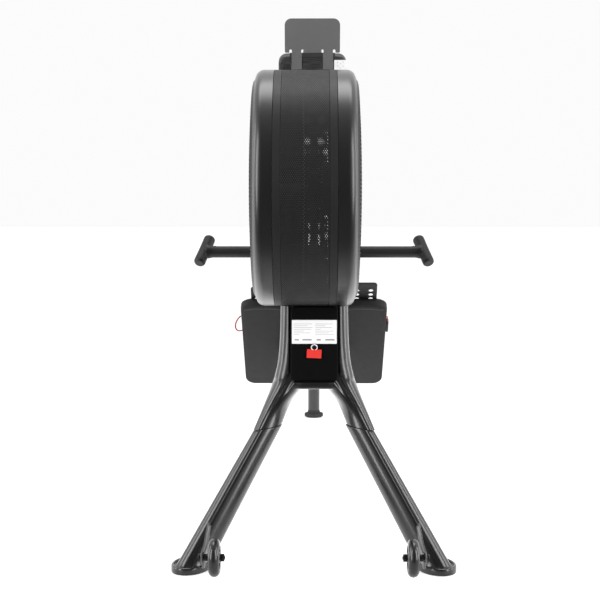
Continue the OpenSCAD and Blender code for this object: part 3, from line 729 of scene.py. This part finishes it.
def make_wheels():
    tyre = flipped(-1, arc(0, 28.2, 11.8, -20, 200, 22))
    tyre += [(9.6, 24.5), (9.0, 22.6), (-9.0, 22.6), (-9.6, 24.5)]
    hub = mirrored([(-11.8, 4.3), (-11.8, 10), (-11.0, 11), (-7, 12)])
    plate = [(10, 102), (-4, 104.5), (-20, 99), (-66, 74), (-100, 66), (-108, 56), (-107, 47), (-99, 41),
             (-92, 34), (-84, 26), (-74, 24), (-60, 30), (-20, 26), (10, 26)]
    flange = [(-14, 101.5), (-20, 99), (-66, 74), (-100, 66), (-101, 63.5), (-65, 71.6), (-19, 96.4),
              (-14, 98.8)]
    yaw = 0.075
    shank = [(-22.6, 0.3), (-22.6, 3.2), (-21.8, 4), (25, 4), (26, 3.2), (26, 0.3)]
    # hex head, washer, spacer, washer and nut: from, to, radius, sides
    rounds = ((26.5, 33.5, 8.2, 6), (25.2, 26.5, 9.5, 32), (12.6, 21.5, 7.4, 32), (-13.6, -12.4, 9.4, 32),
              (-20.8, -13.6, 8.4, 6))
    for side, name in SIDES:
        centre = (side * WHEEL_X, WHEEL_D, WHEEL_Z)
        parts = [lathe("tyre", tyre, centre, angle=40), lathe("hub", hub, centre, segments=48)]
        for k in range(5):
            c, s = cos(radians(72 * k + 20)), sin(radians(72 * k + 20))
            parts.append(loft("spoke", [
                [at(centre[0] + p, WHEEL_D + r * c - q * s, WHEEL_Z + r * s + q * c)
                 for p, q in round_rect(2 * h, 1.2 * w, 1.5, 3)]
                for r, w, h in ((11, 6.5, 5.5), (17, 5, 4.5), (23.6, 6, 5.5))]))
        wheel = join(f"{name}_wheel", parts)
        shade(wheel, 40)
        finish(wheel, f"{name}_wheel", "wheel_tyre", replaces=(f"{name}_transport_wheel",))
        # bracket: a folded plate from the leg down to the axle
        sheets = [bevel(prism("sheet", outline, 0, thick,
                              lambda d, z, h: at(side * (233 - h - (d - WHEEL_D) * yaw), d, z)), 0.9)
                  for outline, thick in ((plate, 4), (flange, 9))]
        bracket = join(f"{name}_bracket", sheets)
        shade(bracket, 40)
        finish(bracket, "frame", "bracket_metal", replaces=("wheel_brackets",) if side < 0 else ())
        bits = [lathe("shank", flipped(side, shank), centre, segments=32)]
        bits += [prism("round", circle(r, n), lo, hi,
                       lambda a, b, h: at(side * (WHEEL_X + h), WHEEL_D + a, WHEEL_Z + b))
                 for lo, hi, r, n in rounds]
        finish(bevel(join(f"{name}_axle_bolt", bits), 0.6), "frame", "dark_hardware",
               replaces=("wheel_axle_bolts",) if side < 0 else ())


# ---------------- footrests
BOARD_X, BOARD_LONG = 122, 312       # a footboard's middle and its length along the slope
STRAP_U = 226                        # the strap's place along the slope
HOLE_PITCH = 15                      # spacing of the heel plate's holes


def make_footboard(side, name, place):
    def channel():
        return prism("channel", [(-32.4, 18.9), (32.4, 18.9), (32.4, 40), (-32.4, 40)], -20, 340, place)
    wide, tall = 58, BOARD_LONG / 2
    outline = [(a * (1 - 0.05 * (0.5 - b / BOARD_LONG)), b) for a, b in
               arc(wide - 19, tall - 19, 19, 0, 90, 10) + arc(-wide + 19, tall - 19, 19, 90, 180, 10)
               + arc(-wide + 26, -tall + 26, 26, 180, 270, 12) + arc(wide - 26, -tall + 26, 26, 270, 360, 12)]
    board = slab(f"{name}_footboard", outline,
                 [(3.2, 0.0), (1.3, 0.35), (0.35, 1.3), (0, 3.2), (0, 20.8), (0.35, 22.7), (1.3, 23.65),
                  (3.2, 24)], upright(place, 0, tall), (wide, tall))
    subtract(board, channel())
    finish(bevel(board, 0.7), "frame", "footboard_plastic", replaces=(f"{name}_footboard",))
    # rounded cap along the toe edge
    rings = []
    for k in range(-20, 21):
        x = wide * k / 20
        over = max(0.0, abs(x) - 40.0) / 18.3
        r = 14.4 * sqrt(max(0.004, 1 - over ** 2.4))
        u = 307.0 - 9.5 * (abs(x) / 52) ** 3.2
        rings.append([place(x, 12.6 + c * 1.02, u + s) for c, s in circle(r, 36)])
    cap = loft(f"{name}_toe_cap", rings, angle=50)
    subtract(cap, channel())
    finish(cap, "frame", "footboard_plastic")
    ribs = [slab("rib", round_rect(19, 3.2, 1.5, 3), [(0, 23.6), (0, 24.6), (0.5, 25.1), (1.1, 25.3)],
                 upright(place, x, u)) for u in range(28, 292, 11) for x in (-45.5, 45.5)]
    finish(join(f"{name}_tread_ribs", ribs), "frame", "footboard_plastic", "heel_plastic")
    mount = prism(f"{name}_board_mount", bar(-10 - side * 48, -36, 20, 37), 136, 178, place)
    finish(bevel(mount, 3.5, 4), "frame", "footboard_plastic")


def make_strap(side, name, place):
    """Webbing over the foot, with its slot guards, buckle, tail and pull loop."""
    foot = 53.5
    arch = [(foot, 22.5)]
    for t in range(0, 181, 5):
        c, s = cos(radians(t)), sin(radians(t))
        arch.append((foot * copysign(abs(c) ** 0.9, c), 25 + 51.5 * s ** 0.95))
    arch.append((-foot, 22.5))
    origin = place(0, 0, 0)
    strap = ribbon(f"{name}_foot_strap", [place(a, b, STRAP_U) for a, b in arch], place(0, 0, 1) - origin,
                   44, 1.9)
    finish(strap, "frame", "strap_webbing", replaces=(f"{name}_foot_strap",))
    for x, end in ((-foot, "a"), (foot, "b")):
        guard = slab(f"{name}_strap_slot_{end}", round_rect(9, 52, 4, 5),
                     [(0, 23.2), (0, 24.8), (0.8, 25.6), (1.8, 25.8)], upright(place, x, STRAP_U))
        finish(guard, "frame", "footboard_plastic", "heel_plastic")

    def on_side(a, b, h):
        return place(h, 12 + b, STRAP_U + a)
    buckle = slab(f"{name}_strap_buckle", round_rect(38, 16, 3, 4),
                  [(1.0, 57.5), (0, 58.5), (0, 62.6), (1.2, 63.8)], on_side)
    subtract(buckle, prism("gap", round_rect(30, 3.4, 1.2, 4), 56, 66, on_side))
    finish(bevel(buckle, 0.5), "frame", "strap_webbing", "heel_plastic")
    tail = [place(x, v, STRAP_U + u)
            for x, v, u in ((58.4, 12, 14), (60.8, 12.5, 20), (61.5, 13, 24.5), (59.4, 13, 26))]
    finish(ribbon(f"{name}_strap_tail", curve_points(tail, 6), place(0, 1, 0) - origin, 14, 1.6), "frame",
           "strap_webbing")
    loop = [at(side * BOARD_X - 57.0 - x, d, z) for x, d, z in (
        (0, 547, 500), (6.0, 546, 497.5), (12.5, 545, 490), (16.8, 544, 480), (17.0, 544, 470),
        (12.5, 544, 463.5), (5.5, 545, 462), (0, 546, 464))]
    finish(ribbon(f"{name}_pull_loop", curve_points(loop, 6), (0, 1, -0.085), 12, 2.8), "frame",
           "strap_webbing")


def make_heel(side, name, slide):
    """The sliding plate with its two rows of holes, and the heel cup on it."""
    body = f"{name}_heel"
    plate = slab(f"{name}_heel_plate", round_rect(64, 360, 8, 8),
                 [(0.9, 19.4), (0.25, 19.7), (0, 20.3), (0, 22.5), (0.25, 23.1), (0.9, 23.3)],
                 upright(slide, 0, 195))
    drills = [prism("drill", circle(6, 28), 15, 30, upright(slide, x, 362 - HOLE_PITCH * i))
              for x in (-17, 17) for i in range(1, 13)]
    subtract(plate, join("drills", drills))
    finish(bevel(plate, 0.45), body, "heel_plastic", replaces=(f"{name}_heel_plate",))
    cup_u = 66
    rings = []
    for k in range(-30, 31):
        q = radians(104.0 * k / 30)
        h = 70.0 - 24.0 * smooth((abs(q) - 0.5) / 1.35)
        flare = 1.2 * (1 - smooth((abs(q) - 1.2) / 0.6))
        section = [(36.2, 24.4), (35.9, h - 8), (36.4 + flare, h - 1.6), (37.2 + flare, h - 0.3),
                   (38.2 + flare, h), (39.2 + flare, h - 0.4), (39.9 + flare, h - 1.8), (39.8, h - 9),
                   (39.9, 34), (40.8, 28), (41.2, 24.4)]
        rings.append([slide(r * sin(q), v, cup_u - r * cos(q)) for r, v in section])
    cup = bevel(loft("cup", rings, angle=45), 0.6, angle=50)
    bed = bevel(prism("bed", arc(0, 0, 37.5, -198, 18, 36), 23.4, 27.0, upright(slide, 0, cup_u)), 0.7)
    both = join(f"{name}_heel_cup", [cup, bed])
    shade(both, 45)
    finish(both, body, "heel_plastic")


def make_footrests():
    for side, name in SIDES:
        place = tilted(side * BOARD_X, 690, 309, 45)
        shift = -HOLE_PITCH if side < 0 else 0
        make_footboard(side, name, place)
        make_strap(side, name, place)
        make_heel(side, name, lambda x, v, u: place(x, v, u + shift))
    finished("footrest_crossbar", "painted_frame", 1.0)


# ---------------- handle
def make_handle():
    bar_d, bar_z = 470, 663
    finished("handle_bar", "bright_steel", 1.6, 3, mat="painted_frame")
    grip_profile = [(17.8, 11.2), (17.8, 13.0), (18.6, 13.8), (20, 14.0), (60, 14.0), (120, 14.0),
                    (180, 14.0), (240, 14.0), (250, 14.0), (250, 11.2)]
    tee_profile = mirrored([(-42.4, 0.2), (-42.4, 10.4), (-42.0, 11.4), (-40.8, 12.2), (-40.0, 13.0),
                            (-38.0, 13.9), (-35, 14.2), (-18, 13.9), (0, 13.7)])
    neck_profile = [(238, 14.3), (246, 14.4), (251, 15.0), (256, 16.4), (262, 17.2)]
    for side, name in SIDES:
        grip = lathe(f"{name}_handle_grip", flipped(side, grip_profile), (0, bar_d, bar_z), segments=72)
        finish(grip, "handle", "grip_foam", replaces=("handle_grips",) if side < 0 else ())
        tee = lathe("tee", tee_profile, (0, -FOOT_Y, 0), axis="Z", segments=48, closed=False)
        turn = Vector((side * 0.2819, -0.6485, -0.7071)).to_track_quat("Z", "Y").to_matrix().to_4x4()
        tee.data.transform(Matrix.Translation(at(side * 267, bar_d, 666)) @ turn)
        neck = lathe("neck", flipped(side, neck_profile), (0, bar_d, 663.4), segments=48, closed=False)
        grip_end = join(f"{name}_end_grip", [tee, neck])
        remesh(grip_end, 1.2, smoothing=7, factor=0.4)
        outward(grip_end)
        shade(grip_end, 60)
        finish(grip_end, "handle", "grip_foam", replaces=("end_grips",) if side < 0 else ())
    # strap from the guide roller to the handle, at rest
    first, last, steps = 402.2, 453.8, 24
    path = [at(0, first + (last - first) * i / steps, bar_z) for i in range(steps + 1)]
    belt = ribbon("pull_strap", path, (1, 0, 0), 18, 2.0)
    belt.data.materials.append(MAT["belt"])
    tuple(path[0])
    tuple(path[-1])
    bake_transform(belt)
    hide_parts("pull_belt")


# ---------------- console
CONSOLE = (-4, 455, 995)             # the hinge, where the console's own frame starts
MIDDLE_Z, WINDOW_Z = 44.75, 67       # the shell's and the window's middle, up from the hinge
KEY_X, KEY_Z = 34, -22               # the keys' places, from the hinge
READOUT_X, READOUT_STEP = -46, 24    # the display's first column of bars and the columns' spacing


def make_console_shell(place):
    outline = round_rect(162, 189.5, 20, 10)
    back = slab("console_back_shell", outline,
                [(6.5, 16.0), (3.2, 16.5), (1.2, 17.9), (0.3, 20.0), (0, 23), (0, 33.7)],
                upright(place, 0, MIDDLE_Z))
    for x in (-66, 66):
        subtract(back, slab("dent", round_rect(20, 150, 4, 5), [(0, 17.4), (0, 10)],
                            upright(place, x * 0.93, MIDDLE_Z)))
    finish(back, "console", "console_shell", replaces=("console_back",))
    ribs = [slab("rib", round_rect(1.5, 146, 0.7, 3), [(0, 17.6), (0, 16.4), (0.3, 16.1)],
                 upright(place, x * 0.975 + k * 2.7, MIDDLE_Z)) for x in (-63, 63) for k in range(-3, 4)]
    ribs += [slab("rib", round_rect(45, 2.6, 1.2, 4), [(0, 16.3), (0, 15.1), (0.5, 14.7)],
                  upright(place, 0, z)) for z in range(92, 135, 6)]
    finish(join("console_vent_ribs", ribs), "console", "console_shell")
    ear = [(16.5, 12)] + arc(0, 0, 12, 90, 270, 15) + [(16.5, -12)]
    ears = [prism("ear", ear, x0, x0 + 6, lambda a, b, h: place(h, a, b)) for x0 in (-14.3, 16.3)]
    finish(bevel(join("console_hinge_ears", ears), 0.8), "console", "console_shell")
    pin = lathe("console_hinge_pin", mirrored([(-20.6, 0.3), (-20.6, 4.0), (-19.8, 4.9)]), (0, *CONSOLE[1:]),
                segments=32, closed=False)
    finish(pin, "console", "bright_steel")
    # front bezel with its window
    front = slab("console_bezel", outline, [(0, 34.2), (0, 42.5), (0.5, 44.3), (1.7, 45.5), (3.6, 46.0)],
                 upright(place, 0, MIDDLE_Z))
    subtract(front, slab("window", round_rect(122, 110, 5, 6),
                         [(1.2, 42), (1.2, 44.2), (0, 45.2), (-1.4, 46.6)], upright(place, 0, WINDOW_Z)))
    for x in (-KEY_X, KEY_X):
        subtract(front, prism("hole", circle(9.4, 40), 36, 50, upright(place, x, KEY_Z)))
    finish(bevel(front, 0.4), "console", "console_shell", replaces=("console_front",))


def make_display(place):
    lens = slab("display_window", round_rect(121, 109, 4.4, 6), [(0, 42.2), (0, 44.0), (0.5, 44.5)],
                upright(place, 0, WINDOW_Z))
    finish(lens, "console", "display", replaces=("display_lens",))
    bars = [(-48, 106, 96, 1.2), (-48, 62, 96, 0.8), (-48, 28, 96, 0.8)]
    bars += [(READOUT_X + 7.8 * k, 30, 5.2, h * 0.95)
             for k, h in enumerate((9, 14, 11, 18, 22, 17, 24, 20, 26, 21, 23, 15))]
    for k in range(4):
        x = READOUT_X + READOUT_STEP * k
        bars += [(x, 68, 17, 2.4), (x, 98, 12, 2.0)]
        bars += [(x, 74 + 7.2 * r, (17, 12, 15)[(r + k) % 3], 3.4) for r in range(3)]
    marks = [prism("bar", bar(*b), 44.4, 44.62, upright(place)) for b in bars]
    finish(join("display_bars", marks), "console", "display", "display_mark")


def make_keys(place):
    profile = [(38.5, 0.3), (38.5, 11.8), (40.4, 11.8), (40.6, 9.0), (46.6, 9.0), (47.6, 8.6), (48.0, 7.6),
               (47.7, 5.0), (47.5, 0.3)]
    for x, body, name in ((-KEY_X, "menu_key", "menu_button"), (KEY_X, "select_key", "select_button")):
        on_key = upright(place, x, KEY_Z)
        cap = loft("cap", [[on_key(a, b, h) for a, b in circle(r, 48)] for h, r in profile], angle=40)
        ring = [[on_key((3.6 + s) * cos(t), (3.6 + s) * sin(t), 47.7 + h)
                 for s, h in [(0.8 * c, 0.5 * q) for c, q in circle(1.0, 8)]] for t in turns(32)]
        key = join(name + "_cap", [cap, loft("ring", ring, closed=True)])
        shade(key, 40)
        finish(key, body, "button", replaces=(name,))


def make_phone_holder(place):
    """A folded sheet on two tabs, with relief holes at the folds, a shelf and its pad."""
    outline = arc(49.5, 214, 16, 0, 90, 10) + arc(-49.5, 214, 16, 90, 180, 10)
    outline += [(-65.5, 151), (-64.5, 148.6), (-62, 148), (-49.5, 148), (-49.5, 108), (-25, 108), (-25, 148),
                (25, 148), (25, 108), (49.5, 108), (49.5, 148), (62, 148), (64.5, 148.6), (65.5, 151)]
    holder = prism("phone_holder_plate", outline, 14, 15.9, upright(place))
    ridge = prism("holder_slot_ridge", round_rect(108, 10, 2, 4), 14.5, 17.5, upright(place, 0, 142.6))
    finish(bevel(ridge, 0.6), "console", "console_shell")
    for x in (-51.8, -23.4, 23.4, 51.8):
        subtract(holder, prism("hole", round_rect(6, 10, 2.99, 8), 10, 20, upright(place, x, 151)))
    bevel(holder, 0.45)
    finish(even(holder), "console", "holder_sheet", replaces=("phone_holder",))
    fold = [(15.0, 148.0), (42.0, 148.0), (43.4, 148.7), (44.0, 150.2), (44.0, 162.0), (42.2, 162.0),
            (42.2, 151.2), (41.2, 149.9), (15.0, 149.9)]
    shelf = prism("phone_holder_shelf", fold, -22, 22, lambda a, b, h: place(h, a, b))
    finish(bevel(shelf, 0.45), "console", "holder_sheet")
    pad = slab("phone_holder_grip_pad", round_rect(38, 22, 3, 4), [(0, 149.8), (0, 150.9), (0.7, 151.5)],
               lambda a, b, h: place(a, 29 + b * 0.9, h))
    finish(pad, "console", "holder_sheet", "rubber")


def make_console():
    place = tilted(*CONSOLE, 20)
    make_console_shell(place)
    make_display(place)
    make_keys(place)
    make_phone_holder(place)
    sticker = slab("console_sticker", round_rect(29, 41, 1.2, 3), [(0, 16.4), (0, 15.95)],
                   upright(place, 66.6, 109.5))
    finish(sticker, "console", "label")
    dots = [prism("dot", circle(1.1, 10), 15.95, 15.85, upright(place, x, z)) for x, z in (
        (60, 124), (73, 125), (67, 121), (61, 116), (73, 115), (66, 111), (60, 104), (72, 105))]
    finish(join("console_sticker_dots", dots), "console", "label", "label_print")


# ---------------- mast, spine, rail, rear leg
REAR_LEG_D = 2075


def make_frame_parts():
    for name, slot, width, segments in (
            ("console_mast", "painted_frame", 1.2, 2), ("handle_rest", "housing_plastic", 1.0, 2),
            ("rear_spine", "painted_frame", 2.0, 3), ("seat_rail", "rail_aluminium", 0.8, 2),
            ("rail_tracks", "track_steel", 0.35, 2), ("rail_stops", "rubber", 2.0, 3),
            ("rail_end_cap", "rubber", 1.4, 3), ("rear_leg", "painted_frame", 1.2, 2),
            ("roller_pin", "bright_steel", 0.7, 2), ("axle_yoke", "painted_frame", 0.8, 2),
            ("fan_wheel", "fan_plastic", 0.5, 2)):
        finished(name, slot, width, segments)
    finished("belt_spool", "bright_steel", 0.6, mat="dark_hardware")
    finished("return_spring_case", "housing_plastic", 0.8)
    finished("speed_sensor", "housing_plastic", 1.2)
    for name, slot in (("fan_axle", "bright_steel"), ("fan_bearings", "bright_steel"), ("belt_coil", "belt"),
                       ("drive_belt", "belt")):
        repaint(name, slot)
    foot = [(0.0, 0.3), (0.0, 27), (1.0, 28.8), (2.4, 29.6), (3.2, 32.4), (4.6, 33.4), (12.4, 33.5),
            (14.4, 32.6), (15.2, 31.0), (15.4, 29.4), (14.6, 28.2), (14.8, 26.8), (18.4, 22.8), (21.0, 21.6),
            (26.0, 21.0), (26.0, 18.0), (39.5, 18.0), (39.5, 0.3)]
    finish(lathe("rear_foot_cup", foot, (0, REAR_LEG_D, 0), axis="Z", closed=False), "frame", "rubber",
           replaces=("rear_foot",))
    bolts = []
    heads = [((side * 28, d, 400), "X", side, 7.0) for side, _ in SIDES for d in (640, 720)]
    heads += [((x, REAR_LEG_D + d, 368), "Z", -1, 6.0) for x in (-18, 18) for d in (-50, 50)]
    for centre, axis, sign, r in heads:
        head = [(0, r), (1.2, r), (3.0, r * 0.78), (4.0, r * 0.5), (4.0, r * 0.4), (1.6, r * 0.38),
                (1.6, 0.2), (0, 0.2)]
        bolts.append(lathe("bolt", flipped(sign, head), centre, axis=axis, segments=30))
    finish(join("frame_bolt_heads", bolts), "frame", "dark_hardware", replaces=("frame_bolts",))
    roller = mirrored([(-12, 4.1), (-12, 8), (-10.6, 8.8), (-10.2, 13.3), (-9.4, 14.0), (-5, 13.9)])
    finish(lathe("guide_roller_wheel", roller, (0, 402, 678.3), segments=64), "guide", "roller_plastic",
           replaces=("guide_roller",))


# ---------------- seat
SEAT_D = 1500


def inflate(obj, pressure, cap_mm, floor_z):
    """Swells a closed mesh with Cloth; nothing moves further than the cap, and the base stays put."""
    rest = np.array([v.co for v in obj.data.vertices], float)
    pin = obj.vertex_groups.new(name="pin")
    pin.add([i for i, p in enumerate(rest) if p[2] < floor_z], 1.0, "REPLACE")
    s = obj.modifiers.new("cloth", "CLOTH").settings
    s.quality = 6
    s.mass = 0.3
    s.tension_stiffness = s.compression_stiffness = 30
    s.shear_stiffness = 15
    s.bending_stiffness = 4
    s.use_pressure = True
    s.uniform_pressure_force = pressure
    s.vertex_group_mass = "pin"
    s.effector_weights.gravity = 0
    scene = bpy.context.scene
    for f in range(1, 21):
        scene.frame_set(f)
    ev = obj.evaluated_get(bpy.context.evaluated_depsgraph_get())
    moved = np.array([v.co for v in ev.to_mesh().vertices], float)
    ev.to_mesh_clear()
    step = moved - rest
    length = np.maximum(np.linalg.norm(step, axis=1), 1e-9)
    moved = rest + step * np.minimum(1.0, cap_mm * 0.001 / length)[:, None]
    obj.modifiers.clear()
    obj.vertex_groups.clear()
    obj.data.vertices.foreach_set("co", moved.astype(np.float32).ravel())
    scene.frame_set(1)


def seat_lift(x, d, z):
    """The hollows and swells of the seat's top, in mm; d runs back from the seat's middle."""
    lift = sum(-8.0 * exp(-(((x - cx) / 66) ** 2 + ((d - 8) / 84) ** 2) * 1.15) for cx in (-60, 60))
    lift -= 5.0 * exp(-(x / 17) ** 2) * smooth((d - 6) / 60)       # slot for the tailbone
    lift += 3.6 * smooth((d - 40) / 70) * (1 - exp(-(x / 30) ** 2))
    lift += 1.2 * exp(-(x / 24) ** 2) * (1 - smooth((d + 20) / 60))
    return lift * smooth((z - 493) / 12)


def make_seat():
    rings = []
    for inset, z in ((7, 484.5), (3.5, 486), (3, 492), (3.5, 499), (6, 504), (12, 508), (24, 509.5)):
        outline = round_rect(260 - 2 * inset, 240 - 2 * inset, max(30, 62 - inset), 10)
        rings.append([at(a, SEAT_D + b, z) for a, b in outline])
    pad = loft("seat_pad_cushion", rings)
    remesh(pad, 4.5, smoothing=4)
    inflate(pad, 4.0, 5.0, 0.4875)
    for v in pad.data.vertices:
        x, d, z = v.co.x * 1000, v.co.y * 1000 - FOOT_Y - SEAT_D, v.co.z * 1000
        v.co.z = min(v.co.z + seat_lift(x, d, z) * 0.001, 0.5145)
    bake(pad, ("SUBSURF", {"levels": 1, "render_levels": 1}))
    shade(pad, 60)
    finish(pad, "seat", "seat_foam", replaces=("seat_pad",))
    tray = slab("seat_tray", round_rect(254, 234, 59, 12),
                [(5, 480.2), (1.4, 480.6), (0, 482), (0, 485.4), (1, 486.6)],
                lambda a, b, h: at(a, SEAT_D + b, h))
    finish(tray, "seat", "housing_plastic")
    finished("seat_carriage", "painted_frame", 0.9)
    for name, d, z, r, x, w, body in (("front_rollers", -65, 456.3, 16, 34, 16, "front_roller_set"),
                                      ("rear_rollers", 65, 456.3, 16, 34, 16, "rear_roller_set"),
                                      ("under_rollers", 0, 420.2, 10, 36.5, 11, "under_roller_set")):
        h = w / 2
        profile = mirrored([(-h, 4.1), (-h, 6.4), (-h + 1, 6.8), (-h + 1.2, r - 2.6), (-h + 0.4, r - 1.8),
                            (-h + 0.6, r - 0.6), (-h + 1.6, r)])
        pair = [lathe("roller", profile, (side * x, SEAT_D + d, z), segments=56) for side, _ in SIDES]
        finish(join(name + "_turned", pair), body, "roller_plastic", replaces=(name,))


# ---------------- studio
def soft_light(name, where, target, size, power):
    data = bpy.data.lights.new(name, "AREA")
    data.shape = "RECTANGLE"
    data.size, data.size_y = size
    data.energy = power
    obj = linked(name, data)
    obj.location = where
    obj.rotation_euler = (Vector(target) - Vector(where)).to_track_quat("-Z", "Y").to_euler()


def level_ramp(tree, value, stops):
    """Grey levels by a value from -1 to 1."""
    shift = node(tree, "MapRange", {"Value": value, "From Min": -1.0})
    ramp = node(tree, "ValToRGB", {"Fac": shift}).node
    e = ramp.color_ramp.elements
    for k, (where, level) in enumerate(stops):
        stop = e[0] if k == 0 else e[1] if k == len(stops) - 1 else e.new(0.5)
        stop.position = (where + 1) / 2
        stop.color = (level, level, level, 1)
    return ramp.outputs["Color"]


def make_world():
    """A white sweep behind the object and bright walls at its sides, with a dark room in front."""
    world = bpy.data.worlds.new("studio")
    world.use_nodes = True
    tree = world.node_tree
    sides = node(tree, "SeparateXYZ", {0: node(tree, "TexCoord", {}, "Generated")}).node.outputs
    behind = level_ramp(tree, sides["Y"], ((-1.0, 0.0), (-0.05, 0.03), (0.3, 0.3), (0.6, 0.95)))
    beside = level_ramp(tree, calc(tree, "ABSOLUTE", sides["X"]),
                        ((0.0, 0.0), (0.72, 0.02), (0.9, 0.7), (1.0, 0.9)))
    lit = mixed(tree, 1.0, behind, beside, blend="LIGHTEN")
    # the room itself always shows as one pale backdrop
    shown = mixed(tree, node(tree, "LightPath", {}, "Is Camera Ray"), lit, (0.97, 0.97, 0.97, 1))
    feed(tree, tree.nodes["Background"], {"Color": shown, "Strength": 1.0})
    bpy.context.scene.world = world


def make_floor():
    """A white floor, dimmer in the object's own reflections where it lies in front of the object."""
    floor = mesh_object("studio_floor", [(-30, -30, 0), (30, -30, 0), (30, 30, 0), (-30, 30, 0)],
                        [(0, 1, 2, 3)])
    white, dark, glow = (0.86, 0.86, 0.86, 1), (0.1, 0.1, 0.1, 1), 0.5
    mat = node_material("studio_floor", white[:3], 0.6, vary=0.01, vary_scale=2)
    tree = mat.node_tree
    place = node(tree, "NewGeometry", {}, "Position")
    y = node(tree, "SeparateXYZ", {0: place}, "Y")
    # 1 in front of the object, 0 under and behind it
    front = node(tree, "MapRange", {"Value": y, "From Min": -1.5, "From Max": -0.7, "To Min": 1.0,
                                    "To Max": 0.0})
    dim = calc(tree, "MULTIPLY", node(tree, "LightPath", {}, "Is Glossy Ray"), front)
    feed(tree, tree.nodes["Principled BSDF"], {"Emission Color": (1, 1, 1, 1),
                                               "Emission Strength": mixed(tree, dim, glow, 0.0, kind="FLOAT"),
                                               "Base Color": mixed(tree, dim, white, dark)})
    floor.data.materials.append(mat)


def make_studio():
    scene = bpy.context.scene
    scene.view_settings.view_transform = "Standard"
    make_world()
    make_floor()
    for side, name in SIDES:
        soft_light("key_" + name, (side * 2.3, -2.6, 1.5), (side * 0.05, -0.9, 0.75), (0.9, 3.2), 49)
    for side, name in SIDES:
        soft_light("side_" + name, (side * 2.9, -0.7, 1.2), (0, -0.9, 0.6), (0.7, 3.0), 26)
    soft_light("top", (0, -0.2, 3.4), (0, -0.8, 0.8), (2.6, 1.2), 30)
    camera = bpy.data.cameras.new("camera")
    camera.lens = 84.0
    camera.sensor_width = 36.0
    scene.camera = linked("camera", camera)
    scene.camera.location = (0, -3.954, 0.804)
    scene.camera.rotation_euler = (radians(90 - 4.33), 0, radians(0.57))


make_studio()
make_band()
make_rims()
make_grilles()
make_legs()
make_column()
make_wheels()
make_footrests()
make_handle()
make_console()
make_frame_parts()
make_seat()
